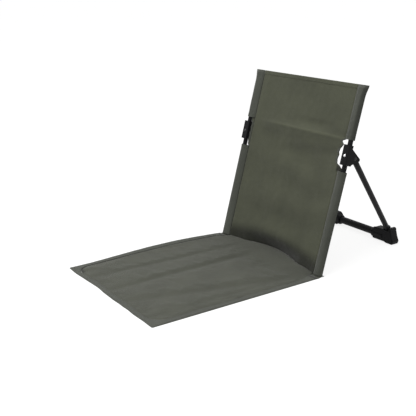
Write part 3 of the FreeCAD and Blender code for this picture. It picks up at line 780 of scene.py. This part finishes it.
seatShape = {
    "columns": 150,
    "rows": 190,
    "cornerRadius": 0.034,    # of the stitched line at the front corners
    "waist": 0.0145,          # the stitched line runs in by this much beside the sleeves
    "waistLength": 0.050,
    "seamHeight": {"far": 0.0011, "near": 0.0027},
    "shoulder": {"far": 0.0070, "near": 0.0250},    # over which the mat rises from its stitched line
    "height": 0.0053,
    "bottom": 0.0009,
    "rearRise": 0.0050,       # soft roll before the crevice
    "rearReach": {"side": 0.006, "middle": 0.029},  # the roll runs this far behind the pole feet
    "folds": (                # across at the front and the rear, half width, depth, ridge beside it
        {"front": -0.106, "rear": -0.090, "width": 0.015, "depth": 0.0020, "ridge": 0.0009},
        {"front": -0.013, "rear": -0.022, "width": 0.015, "depth": 0.0026, "ridge": 0.0012},
        {"front": 0.066, "rear": 0.185, "width": 0.022, "depth": 0.0018, "ridge": 0.0009},
        {"front": 0.165, "rear": 0.160, "width": 0.014, "depth": 0.0008, "ridge": 0.0004},
    ),
    "farLift": 0.0085,        # the left edge curls up off the floor
    "farLiftMiddle": -0.19,
    "farLiftLength": 0.17,
    "dimple": {"x": 0.170, "y": -0.415, "width": 0.014, "length": 0.02, "depth": 0.0016},
    "wavePart": 0.12,         # share of the mat's length over which the front edge's wave fades
}
settling = {  # the cover's cloth is let go between its seams and creases
    "columns": 78,
    "rows": 92,
    "frames": 24,
    "cap": 0.0018,            # no point moves further
    "seed": 17.0,
    "cloth": {                # a little slack, pressed up by air, and without its weight
        "quality": 6, "mass": 0.25, "tension_stiffness": 18, "compression_stiffness": 18,
        "shear_stiffness": 6, "bending_stiffness": 0.4, "vertex_group_mass": "held",
        "use_pressure": True, "uniform_pressure_force": 0.25, "shrink_min": -0.003,
    },
}
seatMoves = []


def farSeam(x):  # 1 where the mat is drawn in hard at its far side, 0 where it runs out softly
    return smooth((-x - 0.135) / 0.025)


def farToNear(values, x):
    return values["near"] + (values["far"] - values["near"]) * farSeam(x)


def seamHalfAt(y):  # distance of the stitched line from the middle of the mat
    look = seatShape
    side = panelHalf - look["waist"] * smooth((y + look["waistLength"]) / look["waistLength"])
    into = panelFront + look["cornerRadius"] - y
    if into <= 0:
        return side
    share = min(1.0, into / look["cornerRadius"])
    return side - look["cornerRadius"] * (1 - math.sqrt(max(0.0, 1 - share * share)))


def rearAt(x):  # where the mat ends in the crevice
    share = min(1.0, abs(x) / (panelHalf - seatShape["waist"]))
    reach = seatShape["rearReach"]
    return reach["side"] * (1 - share ** 4) + (reach["middle"] - reach["side"]) * jointBow(x) + 0.001


def farLift(x, y):  # height of the left edge above the floor
    look = seatShape
    along = hill((y - look["farLiftMiddle"]) / (look["farLiftLength"] * 1.5))
    return look["farLift"] * along * smooth((-x - 0.150) / 0.05) ** 1.5


def foldOff(fold, x, y):  # distance from a long crease, in its half widths
    share = (y - panelFront) / (foldY - panelFront)
    middle = fold["front"] + (fold["rear"] - fold["front"]) * share
    middle += 0.0022 * waver(0.0, y, 0.09, fold["front"])
    return (x - middle) / fold["width"]


def settledHeight(column, row):  # bilinear between the settled points
    if not seatMoves:
        return 0.0
    place = (column + 1) / 2 * (settling["columns"] - 1), row * (settling["rows"] - 1)
    i = min(settling["columns"] - 2, int(place[0]))
    j = min(settling["rows"] - 2, int(place[1]))
    u, v = place[0] - i, place[1] - j
    low = seatMoves[j][i] * (1 - u) + seatMoves[j][i + 1] * u
    high = seatMoves[j + 1][i] * (1 - u) + seatMoves[j + 1][i + 1] * u
    return low * (1 - v) + high * v


def seatInside(x, y):  # distance from the stitched line
    return min(seamHalfAt(y) - abs(x), y - panelFront + 0.0005)


def seatHeight(x, y):
    look = seatShape
    rise = 1 - math.exp(-max(0.0, seatInside(x, y)) / farToNear(look["shoulder"], x))
    share = (y - panelFront) / (foldY - panelFront)
    height = look["height"] + 0.0009 * waver(x, y * 0.4, 0.07, 21.0) + 0.0004 * waver(x, y, 0.025, 22.0)
    fade = 0.55 + 0.45 * math.sin(math.pi * min(1.0, max(0.0, share)))
    fade *= 1 - 0.75 * smooth((share - 0.82) / 0.2)
    for fold in look["folds"]:
        off = foldOff(fold, x, y)
        height -= fold["depth"] * math.exp(-off * off * (3.0 if off < 0 else 1.0)) * fade
        height += fold["ridge"] * math.exp(-((off + 1.1) ** 2) * 1.5) * fade
    dimple = look["dimple"]
    dip = math.exp(-((x - dimple["x"]) / dimple["width"]) ** 2 - ((y - dimple["y"]) / dimple["length"]) ** 2)
    height -= dimple["depth"] * dip
    behind = smooth((y + 0.075) / 0.085)
    height += look["rearRise"] * behind * (1 - 0.85 * min(1.0, abs(x) / panelHalf) ** 4)
    end = (rearAt(x) - y) / 0.012
    drop = math.sqrt(max(0.0, 1 - (1 - min(1.0, max(0.0, end))) ** 2))
    seam = farToNear(look["seamHeight"], x)
    return seam + (height - seam) * rise * drop + farLift(x, y)


def frontWave(x):  # the front edge isn't quite straight
    return 0.0034 * waver(x, 0.0, 0.11, 31.0) + 0.0012 * waver(x, 0.0, 0.035, 32.0)


def seatPlace(column, row):  # across from -1 to 1, and 0 at the front to 1 at the crevice
    y = panelFront + (rearAt(column * seamHalfAt(0)) - panelFront) * row
    x = column * max(0.02, seamHalfAt(y))
    return x, y + frontWave(x) * (1 - smooth(row / seatShape["wavePart"]))


def settleSeat():  # cloth simulation of the cover, held at its stitched line and along the creases
    look = settling
    columns, rows = spread(-1, 1, look["columns"]), spread(0, 1, look["rows"])
    start, held = [], []
    for row in rows:
        for column in columns:
            x, y = seatPlace(column, row)
            start.append(Vector((x, y, seatHeight(x, y) + 0.0002 * waver(x, y, 0.02, look["seed"]))))
            hold = 1 - smooth(seatInside(x, y) / 0.006)
            hold = max(hold, smooth((row - 0.80) / 0.12))
            for fold in seatShape["folds"]:
                hold = max(hold, 0.8 * hill(foldOff(fold, x, y) / 0.7))
            held.append(hold)
    piece = makeMesh("settling_cover", start, gridFaces(look["columns"], look["rows"]))
    group = piece.vertex_groups.new(name="held")
    for index, hold in enumerate(held):
        group.add([index], hold, "REPLACE")
    cloth = piece.modifiers.new("cloth", "CLOTH")
    for key, value in look["cloth"].items():
        setattr(cloth.settings, key, value)
    cloth.settings.effector_weights.gravity = 0
    cloth.collision_settings.use_collision = False
    cloth.point_cache.frame_start = 1
    cloth.point_cache.frame_end = look["frames"]
    scene = bpy.context.scene
    for frameNumber in range(1, look["frames"] + 1):
        scene.frame_set(frameNumber)
    settled = piece.evaluated_get(bpy.context.evaluated_depsgraph_get()).data
    lifts = [max(-look["cap"], min(look["cap"], v.co.z - p.z)) for v, p in zip(settled.vertices, start)]
    print("seat cover settled, by", round(1000 * min(lifts), 2), "to", round(1000 * max(lifts), 2), "mm")
    wide = look["columns"]
    seatMoves.extend(lifts[j * wide:(j + 1) * wide] for j in range(look["rows"]))
    scene.frame_set(1)
    bpy.data.objects.remove(piece)


def seatMat():
    columns = [math.copysign(1 - (1 - abs(c)) ** 1.35, c) for c in spread(-1, 1, seatShape["columns"])]
    rows = [1 - (1 - t) ** 1.1 for t in spread(0, 1, seatShape["rows"])]
    rows = [t ** 1.05 for t in rows]
    points, uvs, shade = [], [], []
    for top in (True, False):
        for row in rows:
            for column in columns:
                x, y = seatPlace(column, row)
                z = seatShape["bottom"] + farLift(x, y) * 0.98
                dark = 0.0
                if top:
                    z = seatHeight(x, y) + settledHeight(column, row)
                    # painted shade: a dark line beside the far stitched line, darker towards the rear, and
                    # darkest where the mat ends in the crevice
                    line = farSeam(x) * hill((seatInside(x, y) - 0.0020) / 0.0065)
                    rear = 0.15 * smooth((y + 0.16) / 0.13)
                    dark = max(line, rear, 0.75 * smooth((y - rearAt(x) + 0.012) / 0.012))
                points.append(Vector((x, y, z)))
                uvs.append((x, y))
                shade.append(dark)
    faces = closedGridFaces(len(columns), len(rows))
    piece = faceOutwards(makeMesh("seat_mat", points, faces, uvs, {"shade": shade}))
    dress(piece, seatMaterial, None, ("seat_cover", "seat_filling"))
    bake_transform(piece)
    return piece


def seatOutline():  # stitched line and outer edge of the hem, from the left rear round to the right rear
    inner, outer = [], []
    corner = seatShape["cornerRadius"]
    rear = foldY - 0.0004
    for y in spread(rear, panelFront + corner, 90):
        inner.append((-seamHalfAt(y), y))
        outer.append((-seatHalf, y))
    for turn in spread(0, math.pi / 2, 24)[1:]:
        inner.append((-panelHalf + corner * (1 - math.cos(turn)), panelFront + corner * (1 - math.sin(turn))))
        reach = min(1.0, turn / (math.pi / 4))
        around = max(0.0, turn / (math.pi / 4) - 1)
        x = -seatHalf + around * (seatHalf - panelHalf + corner)
        outer.append((x, panelFront + corner - reach * (corner + panelFront - seatFront)))
    for x in spread(-panelHalf + corner, 0, 60)[1:]:
        inner.append((x, panelFront))
        outer.append((x, seatFront))
    mirroredPart = [((-a[0], a[1]), (-b[0], b[1])) for a, b in zip(inner[:-1], outer[:-1])][::-1]
    return inner + [a for a, b in mirroredPart], outer + [b for a, b in mirroredPart]


seatHemShape = {
    "section": (              # share of the way out and height, over the top and back under
        (0.0, 0.0026), (0.03, 0.0027), (0.09, 0.0027), (0.2, 0.0026), (0.45, 0.0026), (0.7, 0.0025),
        (0.86, 0.0024), (0.94, 0.0021), (0.98, 0.0016), (1.0, 0.0010), (0.985, 0.0004), (0.95, 0.0),
        (0.7, 0.0), (0.4, 0.0), (0.1, 0.0), (0.01, 0.0003),
    ),
    "stitchRows": ((0.13, 0.0028), (0.80, 0.0026)),
    "farGroove": 0.0016,      # where the far edge is drawn in
    "flatWidth": 0.016,       # for the weave
}


def hemPlace(inside, outside, share):  # a place across the hem, and the lift of the mat's edge there
    x, y = (a + (b - a) * share for a, b in zip(inside, outside))
    y += frontWave(x) * (1 - smooth((y - panelFront) / 0.05))
    return x, y, farLift(x, y) * (0.8 + 0.2 * share)


def seatHem():
    look = seatHemShape
    inner, outer = seatOutline()
    points, uvs, shade, path = [], [], [], 0.0
    last = Vector(inner[0])
    for inside, outside in zip(inner, outer):
        path += (Vector(inside) - last).length
        last = Vector(inside)
        side = 0 if inside[1] > panelFront + 0.004 else 1
        for share, height in look["section"]:
            x, y, lift = hemPlace(inside, outside, share)
            wobble = 0
            if height > 0.0012:  # the upper side
                wobble = 0.0004 * waver(x, y, 0.02, 41.0) + 0.0005 * waver(x, y, 0.06, 42.0)
                wobble -= look["farGroove"] * farSeam(x) * hill(share / 0.08)
            points.append(Vector((x, y, max(0.0, height + wobble) + lift)))
            uvs.append((share * look["flatWidth"] + 0.7 + side, path))
            # painted shade: dark where the hem ends at the rear beside the sleeves, and a dark line at its
            # inner edge on the far side
            slot = 0.75 * smooth((y - foldY + 0.014) / 0.008)
            shade.append(max(slot, 0.9 * farSeam(x) * (share < 0.05)) if height > 0.0008 else 0.0)
    count = len(look["section"])
    faces = gridFaces(count, len(inner), closed=True)
    faces.append(tuple(range(count))[::-1])
    faces.append(tuple(len(points) - count + i for i in range(count)))
    piece = faceOutwards(makeMesh("seat_hem", points, faces, uvs, {"shade": shade}))
    dress(piece, hemMaterial, "seat",
          ("seat_side_hem_left", "seat_side_hem_right", "seat_front_hem"))
    for share, height in look["stitchRows"]:
        line = []
        for inside, outside in list(zip(inner, outer))[3:-3:3]:
            x, y, lift = hemPlace(inside, outside, share)
            line.append(Vector((x, y, height + lift)))
        stitch(line, "seat", "seat_cloth", threadPale)
    return piece


underShape = {
    "columns": 60,
    "rows": 80,
    "thickness": 0.0008,
    "height": 0.0004,
    "inside": 0.0006,         # of the stitched line
    "lift": 0.97,             # share of the far edge's lift, below the mat's own
}


def underCloth(hem):
    look = underShape

    def place(column, row):
        y = panelFront + (foldY - 0.0004 - panelFront) * row
        x = column * (seamHalfAt(y) - look["inside"])
        return Vector((x, y, look["height"] + farLift(x, y) * look["lift"]))

    length = foldY - panelFront
    piece = clothSheet("seat_under_sheet", spread(-1, 1, look["columns"]), spread(0, 1, look["rows"]), place,
                       lambda c, r: look["thickness"], lambda c, r: (c * panelHalf, r * length))
    dress(piece, seatMaterial, "seat", ("seat_under_cloth",))
    return piece


bandShape = {
    "columns": 90,
    "rows": 14,
    "thickness": 0.0009,
    "height": 0.0005,
    "behindMat": 0.002,
    "curl": 0.0020,           # its outer ends rise behind the poles
    "curlFrom": 0.178,
    "flatWidth": 0.03,        # for the weave
}


def jointBand():
    look = bandShape

    def place(column, row):
        x = column * seatHalf
        rear = bandSide + (max(bandRear, rearAt(0) + look["behindMat"]) - bandSide) * jointBow(x)
        y = bandFront + (rear - bandFront) * row
        curl = look["curl"] * smooth((abs(x) - look["curlFrom"]) / 0.022) * smooth(row / 0.6)
        return Vector((x, y, look["height"] + curl))

    piece = clothSheet("joint_band_cloth", spread(-1, 1, look["columns"]), spread(0, 1, look["rows"]), place,
                       lambda c, r: look["thickness"], lambda c, r: (c * seatHalf, r * look["flatWidth"]))
    dress(piece, seatMaterial, "back", ("joint_band",))
    return piece


# stitches along every gathered line, by geometry nodes

stitchShape = {"Pitch": 0.0033, "Length": 0.0024, "Width": 0.00045, "Height": 0.0003}


def stitchTree():
    tree = bpy.data.node_groups.new("stitchRow", "GeometryNodeTree")
    face = tree.interface
    face.new_socket("Geometry", in_out="INPUT", socket_type="NodeSocketGeometry")
    for label, value in stitchShape.items():
        face.new_socket(label, in_out="INPUT", socket_type="NodeSocketFloat").default_value = value
    threadSocket = face.new_socket("Material", in_out="INPUT", socket_type="NodeSocketMaterial").identifier
    face.new_socket("Geometry", in_out="OUTPUT", socket_type="NodeSocketGeometry")
    link = tree.links.new
    start = node(tree, "NodeGroupInput")
    resample = node(tree, "GeometryNodeResampleCurve", mode="LENGTH")
    link(start.outputs["Geometry"], resample.inputs["Curve"])
    link(start.outputs["Pitch"], resample.inputs["Length"])
    bead = node(tree, "GeometryNodeMeshUVSphere")
    bead.inputs["Segments"].default_value = 6
    bead.inputs["Rings"].default_value = 4
    bead.inputs["Radius"].default_value = 0.5
    size = node(tree, "ShaderNodeCombineXYZ")
    for label, axis in (("Length", "X"), ("Width", "Y"), ("Height", "Z")):
        link(start.outputs[label], size.inputs[axis])
    tangent = node(tree, "GeometryNodeInputTangent")
    turn = node(tree, "FunctionNodeAlignRotationToVector", axis="X")
    link(tangent.outputs["Tangent"], turn.inputs["Vector"])
    place = node(tree, "GeometryNodeInstanceOnPoints")
    link(resample.outputs["Curve"], place.inputs["Points"])
    link(bead.outputs["Mesh"], place.inputs["Instance"])
    link(turn.outputs["Rotation"], place.inputs["Rotation"])
    link(size.outputs["Vector"], place.inputs["Scale"])
    real = node(tree, "GeometryNodeRealizeInstances")
    link(place.outputs["Instances"], real.inputs["Geometry"])
    paint = node(tree, "GeometryNodeSetMaterial")
    link(real.outputs["Geometry"], paint.inputs["Geometry"])
    link(start.outputs["Material"], paint.inputs["Material"])
    end = node(tree, "NodeGroupOutput")
    link(paint.outputs["Geometry"], end.inputs["Geometry"])
    return tree, threadSocket


def sewStitches():
    tree, threadSocket = stitchTree()
    for body in ("back", "seat"):
        lines = [line for line in stitchLines if line["body"] == body]
        curve = bpy.data.curves.new(body + "_stitch_path", "CURVE")
        curve.dimensions = "3D"
        for line in lines:
            spline = curve.splines.new("POLY")
            spline.points.add(len(line["points"]) - 1)
            for place, point in zip(line["points"], spline.points):
                point.co = (*place, 1)
        path = addObject(body + "_stitch_path", curve)
        modifier = path.modifiers.new("stitches", "NODES")
        modifier.node_group = tree
        modifier[threadSocket] = lines[0]["material"]
        bpy.context.view_layer.update()
        depsgraph = bpy.context.evaluated_depsgraph_get()
        mesh = bpy.data.meshes.new_from_object(path.evaluated_get(depsgraph))
        mesh.name = body + "_stitches"
        piece = addObject(body + "_stitches", mesh)
        bpy.data.objects.remove(path)
        mesh.polygons.foreach_set("use_smooth", [True] * len(mesh.polygons))
        dress(piece, lines[0]["material"], body)
        print("stitches on the", body, len(mesh.polygons) // 24)


back = backCloth()
hem = topHem()
edges = [cutOutBinding(side) for side in (1, -1)]
for side in (1, -1):
    for upper in (True, False):
        sleeve(side, upper)
print("back cloth and sleeves made")
settleSeat()
seatMat()
underCloth(seatHem())
jointBand()
print("seat mat made")
sewStitches()


# camera, floor and light

cameraLook = {
    "place": (1.3871, -1.1545, 0.6758),
    "target": (-0.0206, -0.1781, 0.150),
    "lens": 63.72,
    "film": 36.0,
}


def aimAt(thing, place, target):
    thing.location = place
    thing.rotation_euler = (Vector(target) - Vector(place)).to_track_quat("-Z", "Y").to_euler()


def makeCamera():
    lens = bpy.data.cameras.new("camera")
    lens.lens = cameraLook["lens"]
    lens.sensor_width = cameraLook["film"]
    camera = addObject("camera", lens)
    aimAt(camera, cameraLook["place"], cameraLook["target"])
    bpy.context.scene.camera = camera


roomLook = {
    "floorSize": 60.0,
    "floorColour": (0.34, 0.34, 0.337),
    "floorGlow": 0.840,        # added where the camera looks, so that the floor is as white as the background
    "worldStrength": 0.48,
    "keyPower": 34.0,
    "keySize": 1.6,
    "keyPlace": (0.15, -1.3, 2.2),
    "keyTarget": (0.0, -0.1, 0.1),
}


def cameraRays(tree):  # 1 for what the camera, a mirror or a window sees directly
    path = node(tree, "ShaderNodeLightPath")
    seen = mathNode(tree, "ADD", path.outputs["Is Camera Ray"], path.outputs["Is Glossy Ray"])
    return mathNode(tree, "ADD", seen, path.outputs["Is Transmission Ray"], clamp=True)


def makeRoom():
    look = roomLook
    half = look["floorSize"] / 2
    corners = [(-half, -half, 0), (half, -half, 0), (half, half, 0), (-half, half, 0)]
    floor = makeMesh("floor", corners, [(0, 1, 2, 3)])
    material, tree, shader = newMaterial("floorPaint")
    shader.inputs["Base Color"].default_value = (*look["floorColour"], 1)
    shader.inputs["Roughness"].default_value = 0.9
    shader.inputs["Specular IOR Level"].default_value = 0.0
    shader.inputs["Emission Color"].default_value = (1, 1, 1, 1)
    glow = mathNode(tree, "MULTIPLY", cameraRays(tree), look["floorGlow"])
    tree.links.new(glow, shader.inputs["Emission Strength"])
    floor.data.materials.append(material)

    world = bpy.data.worlds.new("studio")
    world.use_nodes = True
    bpy.context.scene.world = world
    tree = world.node_tree
    background = tree.nodes["Background"]
    background.inputs["Color"].default_value = (1, 1, 1, 1)
    strength = scaledNode(tree, cameraRays(tree), 1 - look["worldStrength"], look["worldStrength"])
    tree.links.new(strength, background.inputs["Strength"])

    light = bpy.data.lights.new("key", "AREA")
    light.size = look["keySize"]
    light.energy = look["keyPower"]
    aimAt(addObject("key", light), look["keyPlace"], look["keyTarget"])


makeCamera()
makeRoom()
bpy.context.scene.view_settings.view_transform = "Standard"
print("room made")
